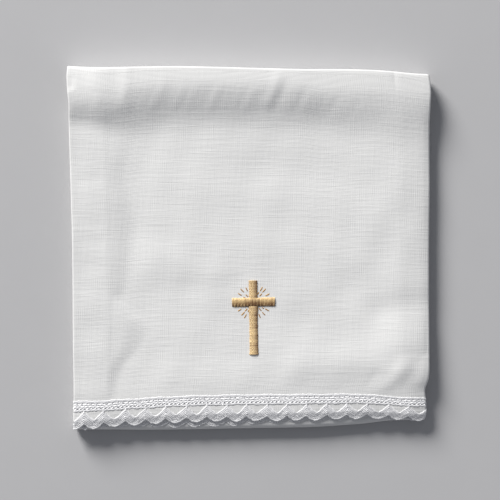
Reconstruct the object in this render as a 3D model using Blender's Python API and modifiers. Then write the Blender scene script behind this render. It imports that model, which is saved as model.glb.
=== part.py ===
"""Corporal: a square white altar cloth with a lace edging and an embroidered gold cross, folded in nine.

The side thirds lie behind the middle column, so one layer here is three plies of cloth. The column is then
folded like a letter. The top layer carries the cross and, on its front edge, the lace. It rolls over at the
back into the bottom layer, and the bottom layer turns up at the front into a middle layer tucked inside.

The origin is at the middle of the packet on the surface it lies on. +X is to the right with the lace
towards the viewer, +Y to the back and +Z up.
"""

from collections import namedtuple
from math import copysign, cos, exp, hypot, pi, radians, sin

import bmesh
import bpy
from mathutils import Vector

MM = 0.001

# Driving sizes of the folded cloth, in millimetres
LAYER_THICKNESS = 2.0
LAYER_PITCH = 2.5
PACKET_HALF_WIDTH = 83.0
PIECE_GAP = 0.42
EDGE_ROUNDING = 0.9
EDGE_SEGMENTS = 2
ROUNDED_ANGLE = radians(60)

# Heights of the middle of each layer above the surface, in millimetres
BOTTOM_HEIGHT = LAYER_THICKNESS / 2
MIDDLE_HEIGHT = BOTTOM_HEIGHT + LAYER_PITCH
TOP_HEIGHT = MIDDLE_HEIGHT + LAYER_PITCH

# The top layer: its loft over its front edge, the run of the slope down to that edge, and how far its hem
# runs on under the lace, in millimetres
MIDDLE_LOFT = 1.0
HEADING_RUN = 14.0
HEM_DEPTH = 9.0

# The puffed back roll is squarer above than below, and the round front fold bulges up towards the lace
ROLL_OVER_POWER = 0.5
ROLL_UNDER_POWER = 0.8
BULGE_RUN = 10.0
TUCKED_END_FROM_BACK = 20.0

# How finely the folded sheet is divided
COLUMNS_ACROSS = 26
TOP_STEPS = 30
ROLL_STEPS = 11
BOTTOM_STEPS = 5
FRONT_FOLD_STEPS = 7
TUCKED_STEPS = 12

# Lace edging, in millimetres from its heading line
LACE_THICKNESS = 1.0
LACE_HALF_LENGTH = 81.2
LACE_DROOP = 0.6
SCALLOP_PITCH = 9.37
SCALLOP_VALLEY_X = 73.8
VALLEY_DEPTH = 10.1
SCALLOP_DEPTH = 12.3
SCALLOP_FULLNESS = 0.8
POINTS_PER_SCALLOP = 6

# Cross, in millimetres
CROSS_CENTRE_X = 2.0
CROSS_CENTRE_Y = -24.8
CROSS_ARM_UP = 10.1
CROSS_FOOT_DOWN = 24.4
CROSS_ARM_SIDE = 10.1
CROSS_STEM_WIDTH = 4.0
CROSS_BAR_WIDTH = 4.0
CROSS_BAR_TILT = radians(1.8)
CROSS_STEM_TILT = radians(0.7)
CROSS_THICKNESS = 0.8

# Where the back edge, the heading of the lace and the front fold lie from left to right, in millimetres. Then
# how the back roll stands: its crown and foot from the back edge, its rise, and how abruptly its fall ends.
# Last, the height of the heading over its layer, the slope of the lace in front of it, the bulge of the front
# fold, and how far hem and lace reach as seen from above, as a share of their depth
FoldLine = namedtuple("FoldLine", "x back heading front crown foot rise abrupt level drop bulge reach")
FOLD_LINES = [
    FoldLine(-83, 84.3, -70.6, -84.2, 9.5, 29.5, 4.7, 1.0, 1.2, 0.04, 1.0, 1.09),
    FoldLine(-76, 84.0, -70.5, -84.3, 9.3, 29.5, 4.9, 1.0, 1.4, 0.04, 1.2, 1.06),
    FoldLine(-69, 83.75, -70.3, -84.35, 8.6, 30.5, 5.3, 1.0, 1.3, 0.05, 1.0, 1.02),
    FoldLine(-60, 83.85, -69.85, -84.4, 9.0, 31.5, 5.4, 0.8, 1.0, 0.06, 0.7, 1.0),
    FoldLine(-50, 84.0, -69.2, -84.5, 7.4, 32.5, 5.3, 0.4, 0.8, 0.06, 0.5, 1.0),
    FoldLine(-30, 84.2, -68.2, -84.3, 6.3, 36.0, 5.2, 0.0, 0.8, 0.06, 0.55, 1.0),
    FoldLine(-4, 83.6, -67.6, -83.8, 5.8, 35.0, 5.2, 0.0, 0.8, 0.06, 0.6, 1.0),
    FoldLine(23, 82.9, -67.45, -83.4, 5.9, 34.0, 4.9, 0.0, 0.8, 0.06, 0.55, 0.99),
    FoldLine(33, 82.85, -67.3, -83.1, 8.0, 33.0, 4.5, 0.0, 0.8, 0.06, 0.45, 0.98),
    FoldLine(40, 82.9, -67.25, -82.7, 8.3, 36.0, 4.3, 0.0, 0.75, 0.06, 0.35, 0.97),
    FoldLine(54, 82.7, -67.4, -81.7, 8.3, 37.0, 3.8, 0.0, 0.7, 0.07, 0.15, 0.92),
    FoldLine(66, 82.05, -68.3, -80.3, 8.5, 37.0, 3.2, 0.0, 0.5, 0.07, 0.0, 0.875),
    FoldLine(76, 81.05, -68.9, -80.0, 8.5, 36.5, 2.8, 0.0, 0.6, 0.06, 0.0, 0.87),
    FoldLine(83, 80.7, -69.3, -79.8, 8.5, 36.0, 2.5, 0.0, 0.3, 0.04, 0.0, 0.87),
]

# Where the folded sides lie, from front to back, in millimetres
SideLine = namedtuple("SideLine", "y left right")
SIDE_LINES = [
    SideLine(-84, -81.1, 80.6),
    SideLine(-80, -81.1, 81.0),
    SideLine(-76, -81.1, 81.9),
    SideLine(-70, -80.9, 81.7),
    SideLine(-65, -80.9, 81.4),
    SideLine(-61, -80.9, 82.8),
    SideLine(-56, -81.0, 83.3),
    SideLine(-40, -81.2, 83.3),
    SideLine(1, -81.55, 83.2),
    SideLine(29, -82.3, 83.5),
    SideLine(57, -83.1, 83.4),
    SideLine(67, -83.1, 83.8),
    SideLine(73, -83.7, 84.0),
    SideLine(79, -84.0, 83.3),
    SideLine(84, -83.7, 82.0),
]

# How much of the back roll's rise is gone along its fall from the crown to its foot
Descent = namedtuple("Descent", "along soft abrupt")
DESCENT = [
    Descent(0.0, 0.0, 0.0),
    Descent(0.17, 0.075, 0.015),
    Descent(0.33, 0.31, 0.11),
    Descent(0.5, 0.62, 0.35),
    Descent(0.67, 0.86, 0.67),
    Descent(0.83, 0.97, 0.92),
    Descent(1.0, 1.0, 1.0),
]

# Extra loft of the top layer at its sides, in millimetres: the right shoulder falls away
Loft = namedtuple("Loft", "x extra")
LOFTS = [
    Loft(-83, 0.0),
    Loft(60, 0.0),
    Loft(70, -0.05),
    Loft(78, -0.6),
    Loft(83, -1.0),
]

# The hem of the side column underneath holds the top layer up on the left, in millimetres. The cloth falls
# away from it on a wandering line, over the width given here, from front to back
HEM_LOFT = 0.9
HemFall = namedtuple("HemFall", "y start width")
HEM_FALLS = [
    HemFall(-72, -68, 5),
    HemFall(-56, -67, 7),
    HemFall(-45, -62, 11),
    HemFall(-35, -59, 12),
    HemFall(-29, -62, 9),
    HemFall(-23, -66, 7),
    HemFall(-4, -66, 11),
    HemFall(9, -66, 13),
    HemFall(36, -66, 9),
    HemFall(62, -66, 20),
    HemFall(84, -66, 20),
]

# Main hollows and swellings of the top layer, in millimetres: half width, depth (a swelling's is negative)
# and the line they run along
Crease = namedtuple("Crease", "reach depth line")
CREASES = [
    Crease(8.0, 0.30, ((-42, 56), (-52, 36))),
    Crease(9.0, -0.40, ((-41, -5), (-30, -8), (-19, -11))),
    Crease(9.0, -0.50, ((-36, -59), (-8, -59))),
    Crease(9.0, 0.25, ((42, 49), (31, 33), (17, 12))),
    Crease(12.0, 0.30, ((2, 38), (24, 38), (50, 37))),
    Crease(8.0, 0.28, ((69, 13), (54, -12), (37, -24), (23, -33))),
    Crease(6.0, 0.42, ((84, -25), (71, -26), (60, -29))),
    Crease(10.0, -0.85, ((22, -56), (44, -54), (60, -50))),
    Crease(12.0, -1.30, ((74, -46), (74, -56), (90, -56), (90, -46))),
    Crease(9.0, -0.50, ((74, -61), (90, -61))),
]

Finish = namedtuple("Finish", "name colour roughness")
LINEN = Finish("linen", (0.80, 0.80, 0.79), 0.9)
LACE = Finish("lace", (0.76, 0.76, 0.77), 0.9)
GOLD_THREAD = Finish("gold_thread", (0.60, 0.42, 0.20), 0.45)


def smooth_value(rows, at, column):
    """Read a column of a table at a place given in its first column, on a smooth curve through the rows."""
    places = [row[0] for row in rows]
    values = [getattr(row, column) for row in rows]
    last = len(rows) - 1
    at = min(max(at, places[0]), places[last])
    slopes = []
    for i in range(last + 1):
        before = max(i - 1, 0)
        after = min(i + 1, last)
        slopes.append((values[after] - values[before]) / (places[after] - places[before]))
    i = 0
    while i < last - 1 and at > places[i + 1]:
        i += 1
    span = places[i + 1] - places[i]
    t = (at - places[i]) / span
    start = (1 + 2 * t) * (1 - t) ** 2 * values[i] + t * (1 - t) ** 2 * span * slopes[i]
    end = t * t * (3 - 2 * t) * values[i + 1] - t * t * (1 - t) * span * slopes[i + 1]
    return start + end


def smooth_step(t):
    t = min(max(t, 0.0), 1.0)
    return t * t * (3 - 2 * t)


def distance_to_line(x, y, line):
    """Distance from a point to a line of straight stretches."""
    distances = []
    for (x0, y0), (x1, y1) in zip(line, line[1:]):
        run = (x1 - x0) ** 2 + (y1 - y0) ** 2
        share = ((x - x0) * (x1 - x0) + (y - y0) * (y1 - y0)) / run
        share = min(max(share, 0.0), 1.0)
        distances.append(hypot(x - x0 - share * (x1 - x0), y - y0 - share * (y1 - y0)))
    return min(distances)


def top_rise(x, y):
    """Height of the top layer over its level, from the back roll down to the front edge."""
    from_back = smooth_value(FOLD_LINES, x, "back") - y
    from_heading = y - smooth_value(FOLD_LINES, x, "heading")
    crown = smooth_value(FOLD_LINES, x, "crown")
    along = (from_back - crown) / (smooth_value(FOLD_LINES, x, "foot") - crown)
    abrupt = smooth_value(FOLD_LINES, x, "abrupt")
    soft = smooth_value(DESCENT, along, "soft")
    gone = soft + (smooth_value(DESCENT, along, "abrupt") - soft) * abrupt

    past_hem = (x - smooth_value(HEM_FALLS, y, "start")) / smooth_value(HEM_FALLS, y, "width")
    body = MIDDLE_LOFT + smooth_value(LOFTS, x, "extra") + HEM_LOFT * (1 - smooth_step(past_hem))
    for crease in CREASES:
        away = distance_to_line(x, y, crease.line) / crease.reach
        body -= crease.depth * exp(-away * away)

    level = smooth_value(FOLD_LINES, x, "level")
    to_level = 1 - min(max(from_heading / HEADING_RUN, 0.0), 1.0)
    body = level + (body - level) * (1 - to_level ** 2)
    body += smooth_value(FOLD_LINES, x, "drop") * min(from_heading, 0.0)
    return smooth_value(FOLD_LINES, x, "rise") * (1 - gone) + body * gone


def squared(turn):
    """Sine and cosine of a turn round the back roll, made squarer by powers below one."""
    power = ROLL_OVER_POWER if turn < pi / 2 else ROLL_UNDER_POWER
    return abs(sin(turn)) ** power, copysign(abs(cos(turn)) ** power, cos(turn))


def folded_path(x):
    """The letter fold at one place across the packet, as points (y, height) on the middle of the sheet."""
    back = smooth_value(FOLD_LINES, x, "back")
    heading = smooth_value(FOLD_LINES, x, "heading")
    front = smooth_value(FOLD_LINES, x, "front")
    crown = back - smooth_value(FOLD_LINES, x, "crown")
    hem_edge = heading - HEM_DEPTH * smooth_value(FOLD_LINES, x, "reach")
    path = [(hem_edge, TOP_HEIGHT + top_rise(x, hem_edge))]

    for step in range(TOP_STEPS):
        y = heading + (crown - heading) * step / TOP_STEPS
        path.append((y, TOP_HEIGHT + top_rise(x, y)))

    roll_height = TOP_HEIGHT + top_rise(x, crown)
    roll_radius = (roll_height - BOTTOM_HEIGHT) / 2
    roll_depth = back - crown - LAYER_THICKNESS / 2
    for step in range(ROLL_STEPS):
        out, up = squared(step / ROLL_STEPS * pi)
        path.append((crown + roll_depth * out, BOTTOM_HEIGHT + roll_radius * (1 + up)))

    bulge = smooth_value(FOLD_LINES, x, "bulge")
    fold_radius = (MIDDLE_HEIGHT + bulge - BOTTOM_HEIGHT) / 2
    fold_centre = front + fold_radius + LAYER_THICKNESS / 2
    for step in range(BOTTOM_STEPS):
        path.append((crown + (fold_centre - crown) * step / BOTTOM_STEPS, BOTTOM_HEIGHT))

    for step in range(FRONT_FOLD_STEPS):
        turn = step / FRONT_FOLD_STEPS * pi
        path.append((fold_centre - fold_radius * sin(turn), BOTTOM_HEIGHT + fold_radius * (1 - cos(turn))))

    tucked_run = back - TUCKED_END_FROM_BACK - fold_centre
    for step in range(TUCKED_STEPS + 1):
        run = tucked_run * (step / TUCKED_STEPS) ** 2
        path.append((fold_centre + run, MIDDLE_HEIGHT + bulge * (1 - smooth_step(run / BULGE_RUN))))
    return path


def make_material(finish):
    material = bpy.data.materials.new(finish.name)
    material.use_nodes = True
    shader = material.node_tree.nodes["Principled BSDF"]
    shader.inputs["Base Color"].default_value = (*finish.colour, 1)
    shader.inputs["Roughness"].default_value = finish.roughness
    shader.inputs["Metallic"].default_value = 0.0
    return material


def add_piece(name, data, finish, collection):
    data.materials.append(make_material(finish))
    piece = bpy.data.objects.new(name, data)
    collection.objects.link(piece)
    return piece


def add_folded_sheet(name, columns, rows, place, thickness, finish, collection):
    """A grid of so many columns and rows, each corner laid by its column and row, and given its thickness."""
    sheet = bmesh.new()
    bmesh.ops.create_grid(sheet, x_segments=columns, y_segments=rows, size=1.0)
    for corner in sheet.verts:
        column = round((corner.co.x + 1) / 2 * columns)
        row = round((corner.co.y + 1) / 2 * rows)
        corner.co = Vector(place(column, row)) * MM
    mesh = bpy.data.meshes.new(name)
    sheet.to_mesh(mesh)
    sheet.free()
    mesh.shade_smooth()
    piece = add_piece(name, mesh, finish, collection)
    shell = piece.modifiers.new("thickness", "SOLIDIFY")
    shell.thickness = thickness * MM
    shell.offset = 0.0
    shell.use_even_offset = True
    return piece


def make_linen_square(collection):
    """The folded cloth: one sheet laid on the letter fold, with rounded edges."""
    shares = [sin((column / COLUMNS_ACROSS - 0.5) * pi) for column in range(COLUMNS_ACROSS + 1)]
    paths = [folded_path(PACKET_HALF_WIDTH * share) for share in shares]

    def place(column, row):
        y, height = paths[column][row]
        left = smooth_value(SIDE_LINES, y, "left")
        right = smooth_value(SIDE_LINES, y, "right")
        return left + (right - left) * (shares[column] + 1) / 2, y, height

    rows = len(paths[0]) - 1
    piece = add_folded_sheet("linen_square", COLUMNS_ACROSS, rows, place, LAYER_THICKNESS, LINEN, collection)
    edge = piece.modifiers.new("rounded_edges", "BEVEL")
    edge.width = EDGE_ROUNDING * MM
    edge.segments = EDGE_SEGMENTS
    edge.limit_method = "ANGLE"
    edge.angle_limit = ROUNDED_ANGLE
    edge.use_clamp_overlap = False
    return piece


def add_outline(name, points, thickness, finish, collection):
    """A flat piece of even thickness from a closed outline, given as points (x, y) in millimetres."""
    outline = bpy.data.curves.new(name, "CURVE")
    outline.dimensions = "2D"
    outline.fill_mode = "BOTH"
    outline.extrude = thickness / 2 * MM
    line = outline.splines.new("POLY")
    line.points.add(len(points) - 1)
    for point, (x, y) in zip(line.points, points):
        point.co = (x * MM, y * MM, 0, 1)
    line.use_cyclic_u = True
    return add_piece(name, outline, finish, collection)


def lace_edge_depth(x):
    """Depth of the scalloped edge below the heading line."""
    share = (x - SCALLOP_VALLEY_X) / SCALLOP_PITCH % 1.0
    return VALLEY_DEPTH + (SCALLOP_DEPTH - VALLEY_DEPTH) * sin(pi * share) ** SCALLOP_FULLNESS


def make_lace_edging(collection):
    """The edging: its heading lies along the cloth, and its scalloped edge hangs past the hem."""
    spacing = SCALLOP_PITCH / POINTS_PER_SCALLOP
    first = int(-(LACE_HALF_LENGTH + SCALLOP_VALLEY_X) / spacing)
    last = int((LACE_HALF_LENGTH - SCALLOP_VALLEY_X) / spacing)
    across = [SCALLOP_VALLEY_X + spacing * step for step in range(first, last + 1)]
    across = [-LACE_HALF_LENGTH, *across, LACE_HALF_LENGTH]

    def place(column, row):
        x = across[column]
        depth = (PIECE_GAP / 2, HEM_DEPTH, lace_edge_depth(x))[row]
        droop = (0.0, 0.0, LACE_DROOP)[row]
        y = smooth_value(FOLD_LINES, x, "heading") - depth * smooth_value(FOLD_LINES, x, "reach")
        cloth_top = TOP_HEIGHT + top_rise(x, y) + LAYER_THICKNESS / 2
        return x, y, cloth_top + PIECE_GAP + LACE_THICKNESS / 2 - droop

    return add_folded_sheet("lace_edging", len(across) - 1, 2, place, LACE_THICKNESS, LACE, collection)


def make_cross_embroidery(collection):
    """The Latin cross, standing just clear of the flat middle of the top layer."""
    stem = CROSS_STEM_WIDTH / 2
    bar = CROSS_BAR_WIDTH / 2
    corners = [
        (-stem, CROSS_ARM_UP),
        (-stem, bar),
        (-CROSS_ARM_SIDE, bar),
        (-CROSS_ARM_SIDE, -bar),
        (-stem, -bar),
        (-stem, -CROSS_FOOT_DOWN),
        (stem, -CROSS_FOOT_DOWN),
        (stem, -bar),
        (CROSS_ARM_SIDE, -bar),
        (CROSS_ARM_SIDE, bar),
        (stem, bar),
        (stem, CROSS_ARM_UP),
    ]
    points = []
    for x, y in corners:
        leaning_x = x - y * sin(CROSS_STEM_TILT)
        rising_y = y + x * sin(CROSS_BAR_TILT)
        points.append((CROSS_CENTRE_X + leaning_x, CROSS_CENTRE_Y + rising_y))

    piece = add_outline("cross_embroidery", points, CROSS_THICKNESS, GOLD_THREAD, collection)
    cloth_top = TOP_HEIGHT + MIDDLE_LOFT + LAYER_THICKNESS / 2
    piece.location.z = (cloth_top + PIECE_GAP + CROSS_THICKNESS / 2) * MM
    return piece


def main():
    for old in list(bpy.data.objects):
        bpy.data.objects.remove(old)
    collection = bpy.data.collections.new("corporal")
    bpy.context.scene.collection.children.link(collection)
    make_linen_square(collection)
    make_lace_edging(collection)
    make_cross_embroidery(collection)


main()
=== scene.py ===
"""Folded corporal: the finished cloth, its lace edging and its embroidered cross.

Run as a script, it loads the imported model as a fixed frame, makes each piece in place and sets the stage.
Sizes in the tables are millimetres. On the cloth, u runs across the cut square from its middle line, v runs
along it from the heading of the lace, and h stands off the cloth's right side.
"""

import random
from collections import namedtuple
from math import cos, pi, radians, sin, tan

import bpy
import numpy as np
from bpy.props import FloatProperty, FloatVectorProperty, PointerProperty
from bpy.types import Operator, Panel, PropertyGroup
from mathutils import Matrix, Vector


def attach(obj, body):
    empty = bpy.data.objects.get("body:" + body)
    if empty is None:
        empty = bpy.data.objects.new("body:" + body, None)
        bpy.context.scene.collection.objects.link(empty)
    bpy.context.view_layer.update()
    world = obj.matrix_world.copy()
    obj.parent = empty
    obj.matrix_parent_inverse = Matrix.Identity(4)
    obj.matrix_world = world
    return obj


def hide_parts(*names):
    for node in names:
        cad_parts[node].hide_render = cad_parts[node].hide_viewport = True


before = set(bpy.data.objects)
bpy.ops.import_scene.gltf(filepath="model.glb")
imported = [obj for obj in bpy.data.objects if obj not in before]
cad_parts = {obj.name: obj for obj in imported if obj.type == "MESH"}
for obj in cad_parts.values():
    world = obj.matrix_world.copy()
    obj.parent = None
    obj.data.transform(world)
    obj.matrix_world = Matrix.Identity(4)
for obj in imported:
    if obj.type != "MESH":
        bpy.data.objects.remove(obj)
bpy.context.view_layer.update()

bl_info = {
    "name": "Folded Corporal",
    "version": (1, 0, 0),
    "blender": (4, 5, 0),
    "location": "View3D > Sidebar > Corporal",
    "description": "Makes a folded altar cloth with a lace edging and an embroidered cross",
    "category": "Add Mesh",
}

MM = 0.001


def table(columns, rows):
    """Rows of numbers as named tuples with these columns."""
    Row = namedtuple("Row", columns)
    return [Row(*row) for row in rows]


# Letter fold, as the middle of each layer of three plies. The side columns and the tucked layer end short
LAYER_THICKNESS = 2.0
LAYER_PITCH = 2.5
BOTTOM_HEIGHT = LAYER_THICKNESS / 2
MIDDLE_HEIGHT = BOTTOM_HEIGHT + LAYER_PITCH
TOP_HEIGHT = MIDDLE_HEIGHT + LAYER_PITCH
HALF_WIDTH = 83.0
COLUMN_BEHIND = 152.0
TUCKED_END_FROM_BACK = 20.0
MIDDLE_LOFT = 1.0

# The front fold bulges up towards the lace, and sinks to the middle layer behind it
FRONT_FOLD_DEPTH = 2.6
FRONT_FOLD_POWER = 0.75
BULGE_RUN = 11.0

# The back roll is squarer above than below
ROLL_OVER_POWER = 0.07
ROLL_UNDER_POWER = 0.8
ROLL_RADIUS = 5.0
ROLL_DROOP_POWER = 1.5

# The plies stand further apart where lace lies on them, and its free edges close up again
LACE_RAMP = 12.0
LACE_SPREAD = 0.36
LACE_LIFT = 0.2
LACE_CLOSING = 0.95
LACE_DROOP = 0.35
HEM_DEPTH = 9.2
RIM_RUN = 4.0

# The top layer slopes down to its heading over a run, and its slope is measured over a step
HEADING_RUN = 14.0
SLOPE_STEP = 0.4

# Lengths of the letter fold along the cloth, from the heading to the tucked end
TOP_LENGTH = 145.0
ROLL_LENGTH = 18.0
BOTTOM_LENGTH = 158.5
FOLD_LENGTH = 7.0
TUCKED_LENGTH = 145.0
ROLL_END = TOP_LENGTH + ROLL_LENGTH
FOLD_START = ROLL_END + BOTTOM_LENGTH
FOLD_END = FOLD_START + FOLD_LENGTH
CLOTH_LENGTH = FOLD_END + TUCKED_LENGTH

# Where the back edge, lace heading and front fold lie, and how the back roll stands: its crown and foot
# from the back edge, its rise, how abruptly its fall ends, how square its edge is and how far it droops
# there. Then the height of the heading over its layer, the slope of the lace in front of it, the height of
# the front fold's bulge, and how far the lace reaches as seen from above
FOLD_LINES = table("x back heading front crown foot rise abrupt power droop level drop bulge reach", (
    (-84, 84.4, -70.6, -84.2, 9.5, 29.5, 4.7, 1.0, 0.12, 0.85, 1.2, 0.04, 1.2, 1.09),
    (-76, 84.0, -70.5, -84.3, 9.3, 29.5, 5.0, 1.0, 0.11, 0.85, 1.4, 0.04, 1.4, 1.06),
    (-69, 83.75, -70.3, -84.35, 8.6, 31.2, 5.55, 1.0, 0.10, 0.8, 1.3, 0.05, 1.4, 1.02),
    (-60, 83.85, -69.85, -84.4, 9.0, 33.5, 5.3, 0.65, 0.08, 0.65, 1.0, 0.06, 1.2, 1.0),
    (-50, 84.0, -69.2, -84.5, 7.3, 34.5, 5.3, 0.3, 0.07, 0.5, 0.9, 0.06, 1.1, 1.0),
    (-30, 84.2, -68.2, -84.3, 6.3, 36.0, 5.2, 0.0, 0.07, 0.42, 0.95, 0.06, 1.1, 0.995),
    (-4, 83.6, -67.6, -83.8, 5.8, 35.0, 5.2, 0.0, 0.07, 0.38, 0.95, 0.06, 1.1, 1.0),
    (23, 82.9, -67.45, -83.4, 5.9, 34.0, 4.9, 0.0, 0.07, 0.38, 0.9, 0.06, 1.1, 0.99),
    (33, 82.85, -67.3, -83.1, 8.0, 33.0, 4.5, 0.0, 0.07, 0.38, 0.8, 0.07, 1.0, 0.98),
    (40, 82.9, -67.25, -82.7, 8.3, 36.0, 4.3, 0.0, 0.07, 0.38, 0.75, 0.08, 0.8, 0.97),
    (54, 82.7, -67.4, -81.7, 8.3, 37.0, 3.8, 0.0, 0.07, 0.38, 0.7, 0.10, 0.5, 0.92),
    (66, 82.05, -68.3, -80.3, 8.5, 37.0, 3.2, 0.0, 0.08, 0.38, 0.5, 0.12, 0.2, 0.875),
    (76, 81.05, -68.9, -80.0, 8.5, 36.5, 2.8, 0.0, 0.08, 0.38, 0.6, 0.12, 0.0, 0.87),
    (84, 80.7, -69.3, -79.8, 8.5, 36.0, 2.5, 0.0, 0.10, 0.38, -0.7, 0.09, -0.7, 0.87),
))

# Where the folded sides lie, from front to back
SIDE_LINES = table("y left right", (
    (-84, -81.1, 80.6), (-80, -81.1, 81.0), (-76, -81.1, 81.9), (-70, -80.9, 81.7), (-65, -80.9, 81.4),
    (-61, -80.9, 82.8), (-56, -81.0, 83.3), (-40, -81.2, 83.3), (1, -81.55, 83.2), (29, -82.3, 83.5),
    (57, -83.1, 83.4), (67, -83.1, 83.8), (73, -83.7, 84.0), (79, -84.0, 83.3), (84, -83.7, 82.0),
))

# How much of the back roll's rise is gone along its fall from the crown to its foot
DESCENT = table("along soft abrupt", (
    (-1.0, 0.0, 0.0), (0.0, 0.0, 0.0), (0.12, 0.03, 0.005), (0.25, 0.18, 0.05), (0.375, 0.385, 0.16),
    (0.5, 0.62, 0.35), (0.625, 0.81, 0.58), (0.75, 0.93, 0.82), (0.875, 0.985, 0.96), (1.0, 1.0, 1.0),
    (9.0, 1.0, 1.0),
))

# Ripples that run slantwise from the crown of the back roll into its fall, and end towards the right
RIPPLES = table("length shift phase", (
    (5.3, 0.35, 0.4), (8.7, 0.5, 2.2), (15.1, 0.6, 5.0), (31.0, 0.5, 1.0),
))
RIPPLE_SLANT = 0.45
RIPPLE_ONSET = 0.3
RIPPLE_FADE = 1.8
RIPPLE_END = 70
RIPPLE_END_RUN = 40

# The slight waviness of washed and pressed linen: direction, length and height of each long wave, and its
# bend
WAVES = table("turn length height", (
    (20, 31, 0.07), (75, 23, 0.05), (130, 37, 0.07), (160, 17, 0.03),
))
WAVE_BEND = 1.4

# Loft of the top layer at its sides: the left edge stands up a little, the right shoulder falls away. The
# back roll follows with a share of it
LOFTS = table("x extra", (
    (-84, 0.12), (-82.5, 0.11), (-81, 0.06), (-79.5, 0.01), (-78, 0.0), (0, 0.0), (60, 0.0), (69, 0.0),
    (71, -0.10), (78, -0.70), (80.5, -1.05), (83, -1.7), (84, -2.0),
))
ROLL_LOFT = 0.35

# The double hem of the side column underneath lifts the top layer on the left. The cloth falls away from it
# in a crisp step at the hem's edge and a soft one that wanders, as wide as given here, from front to back
HEM_EDGE_X = -66.8
CRISP_FALL = 0.18
CRISP_WIDTH = 1.8
SOFT_FALL = 0.75
HEM_FALLS = table("y start width", (
    (-72, -68, 5), (-56, -67, 7), (-45, -62, 11), (-35, -59, 12), (-29, -62, 9), (-23, -66, 7),
    (-16, -66, 9), (-4, -66, 11), (9, -66, 13), (22, -66, 11), (36, -66, 9), (48, -66, 13), (62, -66, 20),
    (85, -66, 20),
))

# Creases and hollows of the top layer, pressed in along a line: half width, depth (a swelling is negative),
# line
CREASES = table("reach depth line", (
    (2.6, 0.13, ((-79, 31), (-71, 32))),
    (2.2, 0.08, ((-77, 12), (-71, 11))),
    (2.4, 0.10, ((-78, 3.5), (-70, 3.0))),
    (2.4, 0.08, ((-76, -8), (-69, -8.5))),
    (3.0, 0.08, ((-77, -19), (-70, -20))),
    (3.0, 0.07, ((-76, -35), (-70, -36))),
    (6.0, -0.20, ((-81, -48), (-72, -48))),
    (7.0, 0.20, ((-58, 14), (-56, -8))),
    (8.0, 0.30, ((-42, 56), (-52, 36))),
    (7.0, 0.25, ((-52, 8), (-38, 6))),
    (9.0, -0.40, ((-41, -5), (-30, -8), (-19, -11))),
    (6.0, 0.15, ((-50, -19), (-30, -18))),
    (5.0, 0.20, ((-30, -18), (-16, -18), (-6, -16))),
    (9.0, -0.50, ((-36, -59), (-8, -59))),
    (8.0, -0.25, ((2, -58), (20, -58))),
    (9.0, 0.25, ((42, 49), (31, 33), (17, 12))),
    (12.0, 0.30, ((2, 38), (24, 38), (50, 37))),
    (8.0, 0.28, ((69, 13), (54, -12), (37, -24), (23, -33))),
    (5.0, 0.10, ((47, 28), (46, 0))),
    (6.0, 0.42, ((84, -25), (71, -26), (60, -29))),
    (10.0, -0.85, ((22, -56), (44, -54), (60, -50))),
    (12.0, -1.30, ((74, -46), (74, -56), (90, -56), (90, -46))),
    (9.0, -0.50, ((74, -61), (90, -61))),
    (3.6, -0.38, ((71, -54.5), (62, -66.5))),
    (3.5, 0.20, ((76, -58), (69, -67))),
    (2.0, 0.15, ((58, -58), (54, -66))),
    (2.3, -0.25, ((13.9, 79), (11.1, 73.2), (7.5, 67.5))),
    (2.8, 0.14, ((17, 76), (12, 64))),
    (2.6, -0.24, ((-55.5, 84), (-57, 66))),
    (1.8, -0.10, ((-38.5, 78), (-40, 69))),
    (1.0, 0.25, ((67.4, 83), (67.0, 78.5))),
    (1.2, 0.45, ((-85, 73.5), (-81, 74.8))),
))

# How far the lace rows of the side columns slip out below the first row
SLIPS = table("x second third", (
    (-84, 0.0, 0.4), (-70, 0.1, 0.4), (-50, 0.8, 1.3), (-32, 1.2, 2.4), (-8, 1.1, 2.2), (12, 0.5, 1.0),
    (84, 0.2, 0.0),
))


def smooth_curve(rows, at, column):
    """A column of a table at places given in its first column, on a smooth curve through its rows."""
    places = np.array([row[0] for row in rows], float)
    values = np.array([getattr(row, column) for row in rows], float)
    after = np.minimum(np.arange(len(rows)) + 1, len(rows) - 1)
    before = np.maximum(np.arange(len(rows)) - 1, 0)
    slopes = (values[after] - values[before]) / (places[after] - places[before])
    at = np.clip(at, places[0], places[-1])
    i = np.clip(np.searchsorted(places, at, side="right") - 1, 0, len(rows) - 2)
    span = places[i + 1] - places[i]
    t = (at - places[i]) / span
    start = (1 + 2 * t) * (1 - t) ** 2 * values[i] + t * (1 - t) ** 2 * span * slopes[i]
    end = t * t * (3 - 2 * t) * values[i + 1] - t * t * (1 - t) * span * slopes[i + 1]
    return start + end


def smooth_step(t):
    t = np.clip(t, 0.0, 1.0)
    return t * t * (3 - 2 * t)


def distance_to_line(x, y, line):
    """Distance from points to a line of straight stretches."""
    nearest = np.full(np.shape(x), np.inf)
    for (x0, y0), (x1, y1) in zip(line, line[1:]):
        run = (x1 - x0) ** 2 + (y1 - y0) ** 2
        share = np.clip(((x - x0) * (x1 - x0) + (y - y0) * (y1 - y0)) / run, 0, 1)
        away = np.hypot(x - x0 - share * (x1 - x0), y - y0 - share * (y1 - y0))
        nearest = np.minimum(nearest, away)
    return nearest


def fold_curves(x, columns):
    """Columns of FOLD_LINES at places across the packet."""
    return [smooth_curve(FOLD_LINES, x, column) for column in columns.split()]


def unevenness(x, y):
    """The height of all the long waves together."""
    height = 0.0
    for i, wave in enumerate(WAVES):
        turn = radians(wave.turn)
        along = x * cos(turn) + y * sin(turn)
        across = y * cos(turn) - x * sin(turn)
        bend = WAVE_BEND * np.sin(across / wave.length)
        height = height + wave.height * np.sin(2 * pi * along / wave.length + i + bend)
    return height


def crease_depth(x, y):
    """How deep all the creases are together at points across and along the packet."""
    depth = 0.0
    for crease in CREASES:
        away = distance_to_line(x, y, crease.line) / crease.reach
        depth = depth + crease.depth * np.exp(-away * away)
    return depth


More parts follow.
